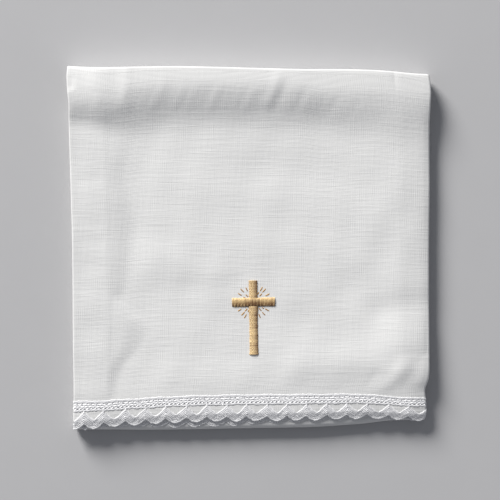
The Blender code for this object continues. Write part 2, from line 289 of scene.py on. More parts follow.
def roll_rise(x):
    """Height of the back roll's crown over the level of the top layer's front edge."""
    return smooth_curve(FOLD_LINES, x, "rise") + ROLL_LOFT * smooth_curve(LOFTS, x, "extra")


def top_rise(x, y):
    """Height of the top layer above the level of its front edge, at points across and along the packet."""
    back, heading, crown, foot = fold_curves(x, "back heading crown foot")
    level, abrupt, drop = fold_curves(x, "level abrupt drop")
    from_back = back - y
    from_heading = y - heading

    slanted = x + RIPPLE_SLANT * from_back
    shift = sum(r.shift * np.sin(2 * pi * slanted / r.length + r.phase) for r in RIPPLES)
    along = (from_back - crown) / (foot - crown)
    rippled = shift * np.clip(along, 0, 1) ** RIPPLE_ONSET * np.clip(1 - along * RIPPLE_FADE, 0, 1)
    rippled = rippled * smooth_step((RIPPLE_END - x) / RIPPLE_END_RUN)
    along = (from_back - crown - rippled) / (foot - crown)
    soft_fall, abrupt_fall = (smooth_curve(DESCENT, along, kind) for kind in ("soft", "abrupt"))
    gone = soft_fall * (1 - abrupt) + abrupt_fall * abrupt

    crisp = CRISP_FALL * (1 - smooth_step((x - HEM_EDGE_X) / CRISP_WIDTH))
    past_start = (x - smooth_curve(HEM_FALLS, y, "start")) / smooth_curve(HEM_FALLS, y, "width")
    hem = crisp + SOFT_FALL * (1 - smooth_step(past_start))
    body = MIDDLE_LOFT + hem + smooth_curve(LOFTS, x, "extra") + unevenness(x, y)
    to_level = np.clip(1 - from_heading / HEADING_RUN, 0, 1)
    ramp = 1 - to_level ** 2
    body = level + (body - level) * ramp + drop * np.clip(from_heading, None, 0)
    return roll_rise(x) * (1 - gone) + body * gone - crease_depth(x, y) * ramp


def rounded(turn, over, under):
    """Sine and cosine of a turn on a squarish round, with a power for each of its two quarters."""
    power = np.where(turn < pi / 2, over, under)
    sine = np.clip(np.sin(turn), 0, 1) ** power
    return sine, np.sign(np.cos(turn)) * np.abs(np.cos(turn)) ** power


def roll_turn(share):
    """Turn round the back roll, half a turn in all, at a share of its length."""
    turns = np.linspace(0, pi, 241)
    out, up = (ROLL_RADIUS * part for part in rounded(turns, ROLL_OVER_POWER, ROLL_UNDER_POWER))
    lengths = np.concatenate([[0], np.cumsum(np.hypot(np.diff(out), np.diff(up)))])
    return np.interp(share * lengths[-1], lengths, turns)


def across_cloth(u, ply_pitch):
    """The side folds: place across the packet, distance off the layer's middle, and how the cloth faces."""
    small = ply_pitch / 2
    large = ply_pitch
    left_tangent = HALF_WIDTH - small
    right_tangent = HALF_WIDTH - large
    left_turn = np.clip((-u - left_tangent) / small, 0, pi)
    right_turn = np.clip((u - right_tangent) / large, 0, pi)
    left_run = np.clip(-u - left_tangent - pi * small, 0, None)
    right_run = np.clip(u - right_tangent - pi * large, 0, None)
    x = np.clip(u, -left_tangent, right_tangent)
    x = x - small * np.sin(left_turn) + left_run + large * np.sin(right_turn) - right_run
    off = ply_pitch - small * (1 - np.cos(left_turn)) - large * (1 - np.cos(right_turn))
    face_x = np.sin(right_turn) - np.sin(left_turn)
    face_off = np.cos(left_turn) * np.cos(right_turn)
    return x, off, face_x, face_off


def lay(u, v, h, ply_pitch):
    """Where points of the cloth, or of what is sewn to it, lie in the folded packet, in metres."""
    x, off, face_x, face_off = across_cloth(u, ply_pitch)
    slip = np.where(u < -HALF_WIDTH, smooth_curve(SLIPS, x, "second"), 0.0)
    slip = np.where(u > HALF_WIDTH, smooth_curve(SLIPS, x, "third"), slip)
    v = v - slip
    lace_room = 1 - smooth_step(v / LACE_RAMP)
    closing = LACE_CLOSING * smooth_step((-v - HEM_DEPTH + 1) / RIM_RUN)
    off = off * (1 + LACE_SPREAD * lace_room - closing) + LACE_LIFT * lace_room - LACE_DROOP * closing
    x = x + face_x * h
    off = off + face_off * h

    back, heading, front, crown_run, reach = fold_curves(x, "back heading front crown reach")
    over_power, edge_droop, front_bulge = fold_curves(x, "power droop bulge")
    crown = back - crown_run

    # The top layer, with the lace in front of its heading
    on_lace = heading + v * reach
    top_y = np.where(v < 0, on_lace, heading + (crown - heading) * np.clip(v / TOP_LENGTH, 0, 1))
    rise = top_rise(x, top_y)
    slope = (top_rise(x, top_y + SLOPE_STEP) - top_rise(x, top_y - SLOPE_STEP)) / (2 * SLOPE_STEP)
    lean = np.hypot(slope, 1)
    y = top_y - slope / lean * off
    z = TOP_HEIGHT + rise + off / lean

    # The back roll
    radius = (TOP_HEIGHT + roll_rise(x) - BOTTOM_HEIGHT) / 2
    depth = back - crown - LAYER_THICKNESS / 2
    turn = roll_turn(np.clip((v - TOP_LENGTH) / ROLL_LENGTH, 0, 1))
    out, up = rounded(turn, over_power, ROLL_UNDER_POWER)
    rolled = v > TOP_LENGTH
    rolled_y = crown + (depth + off) * out
    rolled_z = BOTTOM_HEIGHT + radius + (radius + off) * up
    droop = edge_droop * out ** ROLL_DROOP_POWER
    rolled_z = rolled_z - (droop + crease_depth(x, rolled_y)) * np.clip(up, 0, 1)
    y = np.where(rolled, rolled_y, y)
    z = np.where(rolled, rolled_z, z)

    # The bottom layer
    fold_centre = front + FRONT_FOLD_DEPTH + LAYER_THICKNESS / 2
    share = np.clip((v - ROLL_END) / BOTTOM_LENGTH, 0, 1)
    under = v > ROLL_END
    y = np.where(under, crown + (fold_centre - crown) * share, y)
    z = np.where(under, BOTTOM_HEIGHT - off, z)

    # The front fold
    fold_height = (MIDDLE_HEIGHT + front_bulge - BOTTOM_HEIGHT) / 2
    turn = np.clip((v - FOLD_START) / FOLD_LENGTH, 0, 1) * pi
    folded = v > FOLD_START
    sine, cosine = rounded(turn, 1.0, FRONT_FOLD_POWER)
    y = np.where(folded, fold_centre - sine * (FRONT_FOLD_DEPTH + off), y)
    z = np.where(folded, BOTTOM_HEIGHT + fold_height - cosine * (fold_height + off), z)

    # The tucked layer
    share = np.clip((v - FOLD_END) / TUCKED_LENGTH, 0, None)
    tucked = v > FOLD_END
    tucked_end = back - TUCKED_END_FROM_BACK
    y = np.where(tucked, fold_centre + (tucked_end - fold_centre) * share, y)
    bulge = front_bulge * (1 - smooth_step((v - FOLD_END) / BULGE_RUN))
    z = np.where(tucked, MIDDLE_HEIGHT + bulge + off, z)

    left = smooth_curve(SIDE_LINES, y, "left")
    right = smooth_curve(SIDE_LINES, y, "right")
    x = (left + right) / 2 + x / HALF_WIDTH * (right - left) / 2
    return np.stack([x, y, z], axis=-1) * MM


def read(items, name, width=1, kind=np.float32):
    """A number of each item, or a vector of a given width."""
    values = np.empty(len(items) * width, kind)
    items.foreach_get(name, values)
    return values if width == 1 else values.reshape(-1, width)


def write(items, name, values):
    items.foreach_set(name, np.asarray(values, np.float32).ravel())


def read_points(mesh):
    return read(mesh.vertices, "co", 3).astype(float)


def write_points(mesh, points):
    write(mesh.vertices, "co", points)
    mesh.update()


def deselect_all():
    if bpy.context.object and bpy.context.object.mode != "OBJECT":
        bpy.ops.object.mode_set(mode="OBJECT")
    bpy.ops.object.select_all(action="DESELECT")


def finish_piece(piece, name, material):
    """Name a finished piece, dress it in its material and let it ride on the packet."""
    piece.name = name
    piece.data.name = name
    piece.data.materials.clear()
    piece.data.materials.append(material)
    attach(piece, "root")
    deselect_all()


def repeat_piece(piece, count, step):
    """Repeat the active piece in a straight row."""
    row = piece.modifiers.new("row", "ARRAY")
    row.count = count
    row.use_relative_offset = False
    row.use_constant_offset = True
    row.constant_offset_displace = step
    bpy.ops.object.modifier_apply(modifier="row")


def face_outward():
    """Turn all the faces of the active piece outward."""
    bpy.ops.object.mode_set(mode="EDIT")
    bpy.ops.mesh.select_all(action="SELECT")
    bpy.ops.mesh.normals_make_consistent(inside=False)
    bpy.ops.object.mode_set(mode="OBJECT")


class Wire:
    """An output of a node. Arithmetic on it adds Math nodes."""

    def __init__(self, tree, socket):
        self.tree = tree
        self.socket = socket

    def fill(self, node, sockets):
        """Fill the sockets of a node with values or with other wires."""
        for key, value in sockets.items():
            if isinstance(value, Wire):
                self.tree.links.new(value.socket, node.inputs[key])
            else:
                node.inputs[key].default_value = value

    def node(self, kind, settings=None, sockets=None, output=0):
        """Add a node, set it and fill its sockets."""
        node = self.tree.nodes.new(kind)
        for key, value in (settings or {}).items():
            setattr(node, key, value)
        self.fill(node, sockets or {})
        return Wire(self.tree, node.outputs[output])

    def other(self, output):
        """Another output of the node that this wire comes from."""
        return Wire(self.tree, self.socket.node.outputs[output])

    def math(self, operation, *values):
        return self.node("ShaderNodeMath", {"operation": operation}, dict(enumerate(values)))

    def __add__(self, other):
        return self.math("ADD", self, other)

    def __radd__(self, other):
        return self.math("ADD", other, self)

    def __sub__(self, other):
        return self.math("SUBTRACT", self, other)

    def __rsub__(self, other):
        return self.math("SUBTRACT", other, self)

    def __mul__(self, other):
        return self.math("MULTIPLY", self, other)

    def __truediv__(self, other):
        return self.math("DIVIDE", self, other)


def start_material(name):
    """A material with a Principled shader, and a wire to add its nodes with."""
    material = bpy.data.materials.new(name)
    material.use_nodes = True
    tree = material.node_tree
    return material, tree.nodes["Principled BSDF"], Wire(tree, None)


def noise(wire, vector, scale, detail=2.0, roughness=0.5):
    """Smooth noise about nought, between about -0.5 and 0.5."""
    sockets = {"Vector": vector, "Scale": scale, "Detail": detail, "Roughness": roughness}
    return wire.node("ShaderNodeTexNoise", {"noise_dimensions": "3D"}, sockets) - 0.5


def mixed(wire, share, first, second):
    """Two colours mixed by a share between 0 and 1."""
    sockets = {0: share, 6: first, 7: second}
    return wire.node("ShaderNodeMix", {"data_type": "RGBA"}, sockets, output=2)


def bumped(wire, height, distance):
    return wire.node("ShaderNodeBump", None, {"Height": height, "Distance": distance, "Strength": 1.0})


# Distance between the faint ribs that stand in the weave here and there, and shares of ribs and threads
RIB_PITCH = 1.0
RIB_SHARE = 0.5
THREAD_SHARE = 0.35

# The weft of washed linen is a little bowed: how far, and over what lengths
WEFT_BOW = 1.5
WEFT_BOW_RUN = 26.0
WEFT_BOW_LAG = 60.0


def linen_material(settings):
    """White plain-woven linen: rounded threads, uneven weft with slubs, and a dry matte surface."""
    material, shader, wire = start_material("linen")
    place = wire.node("ShaderNodeUVMap", {"uv_map": "weave"})
    apart = wire.node("ShaderNodeSeparateXYZ", None, {0: place})
    across = apart / MM
    along = apart.other(1) / MM

    def at(across, along, layer):
        return wire.node("ShaderNodeCombineXYZ", None, {0: across, 1: along, 2: layer})

    pitch = settings.thread_pitch / MM
    warp = across / pitch
    weft = along / pitch
    warp_wave = wire.math("SINE", warp * pi)
    weft_wave = wire.math("SINE", weft * pi)
    over = warp_wave * weft_wave * 0.5
    warp_thread = wire.math("ABSOLUTE", warp_wave) * (0.5 + over)
    weft_thread = wire.math("ABSOLUTE", weft_wave) * (0.5 - over)
    height = wire.math("MAXIMUM", warp_thread, weft_thread) * THREAD_SHARE
    tone = 0.5

    # Slubs run along single threads, and softer ones over several threads of the weft
    weft_slubs = noise(wire, at(across / 15.0, wire.math("FLOOR", weft) * 7.31, 2.0), 1.0, 2.0, 0.6)
    warp_slubs = noise(wire, at(wire.math("FLOOR", warp) * 5.17, along / 12.0, 5.0), 1.0, 2.0, 0.6)
    soft_slubs = noise(wire, at(across * (1 / 24), along * (1 / 1.4), 7.0), 1.0, 2.0, 0.5)
    uneven = ((weft_slubs, 0.75, 0.55), (soft_slubs, 0.55, 0.5), (warp_slubs, 0.5, 0.4))
    for slubs, raised, lightened in uneven:
        height = height + slubs * settings.slub * raised
        tone = tone + slubs * lightened

    ribbed = noise(wire, at(across * (1 / 9), along * (1 / 7), 11.0), 1.0, 1.0) + 0.05
    ribs = wire.math("SINE", across * (2 * pi / RIB_PITCH)) * wire.math("MAXIMUM", ribbed, 0.0)
    height = height + ribs * RIB_SHARE
    tone = tone + ribs * RIB_SHARE
    # Partly painted shade: the tone rises with the height of the slubs and ribs, so their low parts take
    # the shade colour. The slubs also give the linen's own uneven tone
    wire.fill(shader, {
        "Base Color": mixed(wire, tone, settings.shade_colour, settings.colour),
        "Normal": bumped(wire, height, settings.relief),
        "Roughness": 0.92, "Specular IOR Level": 0.25, "Sheen Weight": 0.12, "Sheen Roughness": 0.5,
    })
    return material


# Fineness of the lace's fibres and of its cloudy tone, and how high the fibres stand
FIBRE_SCALE = 5200.0
CLOUD_SCALE = 260.0
FIBRE_RELIEF = 0.00006


def lace_material(settings):
    """White cotton lace thread, softly fibrous."""
    material, shader, wire = start_material("lace_thread")
    place = wire.node("ShaderNodeTexCoord", output=3)
    fibres = noise(wire, place, FIBRE_SCALE, 2.0)
    clouds = noise(wire, place, CLOUD_SCALE, 1.0)
    # Partly painted shade: the tone rises with the fibres' height, so the low parts between the fibres take
    # the shade colour. The clouds are the thread's own uneven tone
    tone = 0.5 + fibres * 0.7 + clouds * 0.6
    wire.fill(shader, {
        "Base Color": mixed(wire, tone, settings.shade_colour, settings.colour),
        "Normal": bumped(wire, fibres, FIBRE_RELIEF),
        "Roughness": 0.9, "Specular IOR Level": 0.3, "Sheen Weight": 0.1,
    })
    return material


# Twist of the gold thread on one stitch, round it and along it, then how it differs between stitches, its
# tone and its height. Patches of tone lie over it
TWISTS_ROUND = 2.0
TWISTS_ALONG = 7.0
TWIST_LAG = 5.0
TWIST_TONE = 0.06
TWIST_RELIEF = 0.00003
PATCH_SCALE = 900.0
PATCH_TONE = 0.4


def gold_material(name, deep, bright):
    """Gold embroidery thread: a deep and a bright gold mixed by each point's tone, which holds painted
    shade and highlight, and by its twist, with a silky sheen along each stitch.
    """
    material, shader, wire = start_material(name)
    place = wire.node("ShaderNodeTexCoord", output=3)
    stitch = wire.node("ShaderNodeAttribute", {"attribute_name": "stitch_tone_and_painted_light"}, None, output=2)
    ply = wire.node("ShaderNodeUVMap", {"uv_map": "thread"})
    apart = wire.node("ShaderNodeSeparateXYZ", None, {0: ply})
    around = apart * TWISTS_ROUND
    along = apart.other(1) * TWISTS_ALONG + stitch * TWIST_LAG
    twist = wire.math("SINE", (around + along) * 2 * pi)
    tone = stitch + twist * TWIST_TONE + noise(wire, place, PATCH_SCALE, 2.0) * PATCH_TONE
    tone = wire.node("ShaderNodeClamp", None, {"Value": tone})
    wire.fill(shader, {
        "Base Color": mixed(wire, tone, deep, bright),
        "Normal": bumped(wire, twist, TWIST_RELIEF),
        "Roughness": 0.42, "Specular IOR Level": 0.5, "Sheen Weight": 0.15,
    })
    return material


def length_setting(name, description, default):
    return FloatProperty(name=name, description=description, default=default, unit="LENGTH", precision=5)


def colour_setting(name, description, default):
    return FloatVectorProperty(
        name=name, description=description, default=(*default, 1.0), size=4, subtype="COLOR")


class LinenSettings(PropertyGroup):
    ply_thickness: length_setting("Ply Thickness", "Thickness of one ply of the linen", 0.0004)
    ply_pitch: length_setting("Ply Pitch", "Distance from one ply of a layer to the next", 0.00055)
    thread_pitch: length_setting("Thread Pitch", "Distance between threads of the weave", 0.00055)
    grain: length_setting("Mesh Grain", "Spacing of the mesh on the visible top of the cloth", 0.0013)
    slub: FloatProperty(
        name="Slub", description="Unevenness of the threads", default=1.0, subtype="FACTOR")
    relief: length_setting("Weave Relief", "Height of the weave over the cloth", 0.00012)
    # Painted shade: the shade colour goes to the low parts of slubs and ribs, together with the linen's own
    # uneven tone
    colour: colour_setting("Colour", "Linen on its raised threads", (0.86, 0.86, 0.85))
    shade_colour: colour_setting("Shade Colour", "Linen between the threads", (0.77, 0.77, 0.765))


class LaceSettings(PropertyGroup):
    repeat: length_setting("Repeat", "Width of one scallop", 0.00937)
    depth: length_setting("Depth", "Depth of the lace from its heading to the tip of a scallop", 0.0126)
    # Painted shade: the shade colour goes to the low parts between the fibres, and to the thread's own
    # uneven tone
    colour: colour_setting("Colour", "Lace thread in the light", (0.90, 0.90, 0.915))
    shade_colour: colour_setting("Shade Colour", "Lace thread between its fibres", (0.82, 0.82, 0.835))


class CrossSettings(PropertyGroup):
    stem_width: length_setting("Stem Width", "Width of the upright of the cross", 0.0038)
    bar_width: length_setting("Bar Width", "Width of the cross bar", 0.0040)
    stitch_pitch: length_setting("Stitch Pitch", "Distance between satin stitches", 0.00036)
    padding: length_setting("Padding", "Height of the satin stitch over the cloth", 0.0005)
    bright_colour: colour_setting("Bright Gold", "Gold thread in the light", (0.90, 0.66, 0.34))
    # The deep gold paints the shade on stitches turned away from the light, as well as the thread's twist
    # and its own darker patches
    twist_and_shade_colour: colour_setting("Deep Gold", "Gold thread in its twist", (0.23, 0.115, 0.045))
    # Painted sheen: rays that lie across the light take the bright colour, rays that lie along it the deep
    # one
    ray_bright_colour: colour_setting(
        "Bright Ray", "Thin gold thread of a ray that lies across the light", (0.74, 0.43, 0.12))
    ray_deep_colour: colour_setting(
        "Deep Ray", "Thin gold thread of a ray that lies along the light", (0.44, 0.23, 0.06))


class StageSettings(PropertyGroup):
    floor_colour: colour_setting("Floor Colour", "The plain pale floor", (0.52, 0.52, 0.53))
    key_power: FloatProperty(
        name="Key Power", description="Power of the soft key light from the back left", default=402.0,
        unit="POWER")
    key_elevation: FloatProperty(
        name="Key Elevation", description="Angle of the key light over the floor", default=radians(25.5),
        subtype="ANGLE")
    key_turn: FloatProperty(
        name="Key Turn", description="Angle of the key light from straight behind towards the left",
        default=radians(32), subtype="ANGLE")
    fill: FloatProperty(
        name="Fill", description="Brightness of the even light from all round", default=0.231,
        subtype="FACTOR")
    view_width: length_setting("View Width", "Width of the camera's view across the packet", 0.2313)


def stations(stretches):
    """Places along a line, from rows of (end, spacing): each stretch is divided evenly up to its end."""
    places = [stretches[0][0]]
    for end, spacing in stretches[1:]:
        start = places[-1]
        count = max(1, round((end - start) / spacing))
        places += [start + (end - start) * (i + 1) / count for i in range(count)]
    return np.array(places)


# The mesh of the cloth is finer near the side folds, and coarse where it is hidden
SIDE_BEND = 3.0
HIDDEN_SPACING = 8.0
HIDDEN_ROWS = 9.0


def add_bake_map(mesh, outer_faces, half_cut):
    """A flat layout of both sides of the cloth that gives most room to the side that shows."""
    uv = read(mesh.uv_layers["weave"].uv, "vector", 2) / MM
    widths = [-half_cut, -HALF_WIDTH, HALF_WIDTH, half_cut]
    across = np.interp(uv[:, 0], widths, [0.005, 0.06, 0.94, 0.995])
    lengths = [-HEM_DEPTH, ROLL_END, FOLD_END, CLOTH_LENGTH]
    along = np.interp(uv[:, 1], lengths, [0.1, 0.86, 0.97, 0.995])
    inside = np.interp(uv[:, 1], lengths, [0.005, 0.05, 0.08, 0.095])
    first = read(mesh.polygons, "loop_start", kind=np.int32)
    is_inner = np.arange(len(mesh.loops)) >= first[outer_faces]
    layout = np.stack([across, np.where(is_inner, inside, along)], axis=-1)
    bake = mesh.uv_layers.new(name="OFBake")
    write(bake.uv, "vector", layout)
    mesh.uv_layers["weave"].active = True


class CORPORAL_OT_linen(Operator):
    """Fold the linen square: one thin sheet in three columns and three layers, with its creases."""

    bl_idname = "corporal.linen"
    bl_label = "Linen Square"

    def execute(self, context):
        settings = context.scene.corporal_linen
        pitch = settings.ply_pitch / MM
        grain = settings.grain / MM
        half_cut = HALF_WIDTH + pi * pitch + COLUMN_BEHIND + HEM_DEPTH

        # Finer columns in the side folds and in one short crease, finer rows in the back roll's upper edge
        edge = HALF_WIDTH - SIDE_BEND
        turn_end = HALF_WIDTH + SIDE_BEND
        across = stations([
            (-half_cut, 0), (-turn_end, HIDDEN_SPACING), (-edge, 0.25), (66.6, grain), (67.8, 0.4),
            (edge, grain), (turn_end, 0.3), (half_cut, HIDDEN_SPACING),
        ])
        along = stations([
            (-HEM_DEPTH, 0), (3, 1.1), (TOP_LENGTH, grain), (TOP_LENGTH + 3.9, 0.8),
            (TOP_LENGTH + 5.4, 0.15), (ROLL_END, 0.8), (FOLD_START - 2, HIDDEN_ROWS),
            (FOLD_END + BULGE_RUN, 1.2), (CLOTH_LENGTH, HIDDEN_ROWS),
        ])

        deselect_all()
        columns, rows = len(across), len(along)
        bpy.ops.mesh.primitive_grid_add(x_subdivisions=columns - 1, y_subdivisions=rows - 1, size=2)
        sheet = context.object
        mesh = sheet.data
        flat = read_points(mesh)
        i = np.rint((flat[:, 0] + 1) / 2 * (columns - 1)).astype(int)
        j = np.rint((flat[:, 1] + 1) / 2 * (rows - 1)).astype(int)
        u = across[i]
        v = along[j]
        write_points(mesh, lay(u, v, np.zeros(len(u)), pitch))

        corners = read(mesh.loops, "vertex_index", kind=np.int32)
        weave = mesh.uv_layers[0]
        weave.name = "weave"
        bowed = v + WEFT_BOW * np.sin(u / WEFT_BOW_RUN + v / WEFT_BOW_LAG)
        write(weave.uv, "vector", np.stack([u, bowed], axis=-1)[corners] * MM)
        outer_faces = len(mesh.polygons)

        plies = sheet.modifiers.new("ply", "SOLIDIFY")
        plies.thickness = settings.ply_thickness
        plies.offset = 0.0
        bpy.ops.object.modifier_apply(modifier="ply")
        bpy.ops.object.shade_smooth()
        add_bake_map(mesh, outer_faces, half_cut)
        finish_piece(sheet, "linen_sheet", linen_material(settings))
        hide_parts("linen_square")
        return {"FINISHED"}


def make_threads(threads, level):
    """A mesh of several threads, each a list of points (along, down, height, radius)."""
    deselect_all()
    bpy.ops.curve.primitive_nurbs_path_add()
    run = bpy.context.object
    run.data.splines.clear()
    for points in threads:
        line = run.data.splines.new("POLY")
        line.points.add(len(points) - 1)
        for point, (along, down, height, radius) in zip(line.points, points):
            point.co = (along, -down, height, 1)
            point.radius = radius
    run.data.bevel_depth = 1.0
    run.data.bevel_resolution = level
    run.data.use_fill_caps = True
    bpy.ops.object.convert(target="MESH")
    return bpy.context.object


def join_pieces(pieces):
    deselect_all()
    for piece in pieces:
        piece.select_set(True)
    bpy.context.view_layer.objects.active = pieces[0]
    bpy.ops.object.join()
    return bpy.context.object


# Lace, in millimetres below its heading line: its cords, net lines and links, the tip of the pointed window
# in each scallop, and the valley where two fans meet
SECOND_CORD = 0.82
NET_LINES = (1.9, 2.75)
FOOT_CORD = 4.3
LINK_END = 5.1
WINDOW_TIP = 8.9
WINDOW_ROUNDING = 0.03
VALLEY = 9.75

# Place of one joint between scallops, and the share of a scallop's width by which they overlap
JOINT_X = 73.9
OVERLAP = 0.012

# How often things repeat in one scallop
BARS = 4
NET_PERIODS = 5
BEADS = 8
RUNGS = 8

# Sway and swelling of the net and of the fan's beads
NET_SWAY = 0.13
NET_SWELL = 0.04
BEAD_SWAY = 0.05
BEAD_SWELL = 0.04
NET_RADIUS = 0.57

# The zigzag below the net, the bars above it and the rungs of the fan, which go through some parts of it
ZIGZAG_CLEAR = 0.2
ZIGZAG_RADIUS = 0.54
BAR_START = 0.4
BAR_LEAN = 0.2
BAR_RADIUS = 0.52
RUNG_LEAN = 0.3
RUNG_SKEW = 0.15
RUNG_RADIUS = 0.28
RUNG_PARTS = (0.0, 0.4, 0.75, 1.0)

# Depth, height and radius at both ends of the link from the foot cord to a joint
LINK = ((FOOT_CORD, 0.3, 0.4), (LINK_END + 0.5, 0.6, 0.5))

# The lace is flattened to a share of the height it is worked in, and lies off the cloth. Under the side
# columns it is pressed flatter by another share, reached over a short run
FLATTENED = 0.18
LACE_OFF_CLOTH = 0.28
PRESSED = 0.35
PRESSED_RUN = 6.0

# Past each side fold the lace is eased over this run, so that its scallops lie in step with the first row
EASING_RUN = 14.0

# Cords along the lace: depth and sway, radius and swelling, waves in a scallop, lag of the swelling, height
CORDS = table("steps line sway radius swell waves lag height", (
    (24, 0.38, 0.03, 0.42, 0.03, 8, 0.3, 0.3),
    (16, SECOND_CORD, 0.03, 0.40, 0.03, 7, 0.4, 0.2),
    (16, FOOT_CORD, 0.05, 0.38, 0.04, NET_PERIODS, 0.0, 0.2),
))

# Lines of the fan of one scallop: share of the way from the window's edge to the rim, height, radius, and
# what the radius gains towards the joint
FAN_LINES = table("share height radius gain", (
    (0.0, 0.28, 0.46, 0.0), (0.2, 0.1, 0.50, 0.16), (0.4, 0.0, 0.50, 0.16), (0.6, 0.0, 0.50, 0.16),
    (0.8, 0.0, 0.48, 0.14), (1.0, 0.22, 0.40, 0.0),
))

# Slight unevenness of the lace: wave length along it, lean, and shifts along, down and off the cloth
WOBBLES = table("length lean along down height", (
    (17.3, 0.4, 0.10, 0.12, 0.0),
    (7.1, 1.3, 0.10, 0.07, 0.02),
    (3.7, -1.9, 0.09, 0.08, 0.03),
    (1.9, 2.7, 0.07, 0.06, 0.03),
    (1.1, -3.9, 0.04, 0.04, 0.02),
))

# How far the lace is eased along the heading where it was sewn on, so that its joints are a little uneven
EASES = table("x shift", (
    (-84, -2.1), (-74, -2.1), (-65, -1.95), (-56, -1.3), (-47, -1.15), (-39, -1.1), (-29, -0.45),
    (-20, -0.5), (-10, -0.1), (-1, -0.35), (8, -0.1), (17, 0.0), (26, -0.25), (36, 0.0), (46, 0.0),
    (55, 0.35), (65, 1.0), (74, 1.15), (84, 1.2),
))


def work_scallop(repeat, tip):
    """The threads of one scallop, from joint to joint, as one flat mesh."""

    def window_edge(share):
        """Depth of the window's lower edge: two slopes that meet in a rounded tip."""
        slope = ((share * 2 - 1) ** 2 + WINDOW_ROUNDING) ** 0.5
        low = WINDOW_ROUNDING ** 0.5
        high = (1 + WINDOW_ROUNDING) ** 0.5
        return WINDOW_TIP - (WINDOW_TIP - LINK_END) * (slope - low) / (high - low)

    def rim(share):
        return VALLEY + (tip - VALLEY) * abs(sin(pi * share))

    def fan(share, part):
        return window_edge(share) + (rim(share) - window_edge(share)) * part

    def wave(share, times, lag):
        return cos(2 * pi * (share * times + lag))

    def wavy(value, bend=0.0, times=1, lag=0.0):
        """A depth or radius that waves about a value along the scallop."""
        return lambda share: value + bend * wave(share, times, lag)

    def run(steps, depth, radius, height=0.0):
        """A thread from just before one joint to just past the next."""
        shares = [-OVERLAP, *(i / steps for i in range(1, steps)), 1 + OVERLAP]
        return [(share * repeat, depth(share), height, radius(share)) for share in shares]

    def fan_run(line, lag):
        """A line of the fan, with beads along it. The first line lies even along the window's edge."""

        def depth(share):
            return fan(share, line.share) + BEAD_SWAY * (line.share > 0) * wave(share, BEADS, lag)

        def radius(share):
            return line.radius + line.gain * abs(share * 2 - 1) + BEAD_SWELL * wave(share, BEADS, lag)

        return run(24, depth, radius, line.height)

    thick = []
    for c in CORDS:
        depth = wavy(c.line, c.sway, c.waves)
        thick.append(run(c.steps, depth, wavy(c.radius, c.swell, c.waves, c.lag), c.height))
    fine = []
    for n, line in enumerate(FAN_LINES):
        kind = thick if line.share in (0.0, 1.0) else fine
        kind.append(fan_run(line, 0.5 * (n % 2)))
    for n, line in enumerate(NET_LINES):
        depth = wavy(line, NET_SWAY, NET_PERIODS, n / 2)
        fine.append(run(20, depth, wavy(NET_RADIUS, NET_SWELL, NET_PERIODS, n / 2 + 0.2)))
    low = (NET_LINES[-1] + FOOT_CORD) / 2
    swing = (FOOT_CORD - NET_LINES[-1]) / 2 - ZIGZAG_CLEAR
    fine.append(run(20, wavy(low, swing, NET_PERIODS, 0.25), wavy(ZIGZAG_RADIUS)))
    for n in range(BARS):
        along = (n + BAR_START) / BARS * repeat
        ends = (along, SECOND_CORD, 0.14), (along + BAR_LEAN, NET_LINES[0], 0.1)
        fine.append([(*end, BAR_RADIUS) for end in ends])
    fine.append([(0.0, *end) for end in LINK])
    for n in range(RUNGS):
        share = (n + 0.5) / RUNGS
        lean = RUNG_LEAN * (share * 2 - 1) + (RUNG_SKEW if n % 2 else -RUNG_SKEW)
        rung = [(share * repeat + lean * (1 - 2 * part), fan(share, part)) for part in RUNG_PARTS]
        fine.append([(*point, 0.0, RUNG_RADIUS) for point in rung])
    return join_pieces([make_threads(thick, 1), make_threads(fine, 0)])


def sewn(flat, repeat, ply_pitch):
    """Lay the straight lace along the front edge, round both side folds, with the scallops in step."""
    u, down, height = flat[:, 0], -flat[:, 1], flat[:, 2] * FLATTENED
    u = u + smooth_curve(EASES, u, "shift")
    for i, wobble in enumerate(WOBBLES):
        turn = 2 * pi * flat[:, 0] / wobble.length + wobble.lean * flat[:, 1] + i
        u = u + wobble.along * np.sin(turn)
        down = down + wobble.down * np.cos(turn + i)
        height = height + wobble.height * np.sin(turn + 2 * i)
    height = height * (1 - PRESSED * smooth_step((np.abs(u) - HALF_WIDTH) / PRESSED_RUN))
    left_fold = 2 * (HALF_WIDTH - ply_pitch / 2) + pi * ply_pitch / 2
    right_fold = 2 * (HALF_WIDTH - ply_pitch) + pi * ply_pitch
    left_lag = (2 * JOINT_X + left_fold) % repeat
    right_lag = (2 * JOINT_X - right_fold) % repeat
    eased = u + left_lag * smooth_step((-u - HALF_WIDTH) / EASING_RUN)
    eased = eased + (right_lag - repeat) * smooth_step((u - HALF_WIDTH) / EASING_RUN)
    return lay(eased, -down, height + LACE_OFF_CLOTH, ply_pitch)


class CORPORAL_OT_lace(Operator):
    """Work the lace edging: heading cord, net band, foot cord, links and the fan of each scallop."""

    bl_idname = "corporal.lace"
    bl_label = "Lace Edging"

    def execute(self, context):
        settings = context.scene.corporal_lace
        ply_pitch = context.scene.corporal_linen.ply_pitch / MM
        repeat = settings.repeat / MM
        half_length = HALF_WIDTH + pi * ply_pitch + COLUMN_BEHIND
        first = -int((half_length + JOINT_X) / repeat)
        last = int((half_length - JOINT_X) / repeat)

        lace = work_scallop(repeat, settings.depth / MM - FAN_LINES[-1].radius)
        repeat_piece(lace, last - first, (repeat, 0, 0))

        flat = read_points(lace.data)
        flat[:, 0] += JOINT_X + first * repeat
        write_points(lace.data, sewn(flat, repeat, ply_pitch))
        face_outward()
        bpy.ops.object.shade_smooth()
        finish_piece(lace, "lace_rows", lace_material(settings))
        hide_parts("lace_edging")
        return {"FINISHED"}


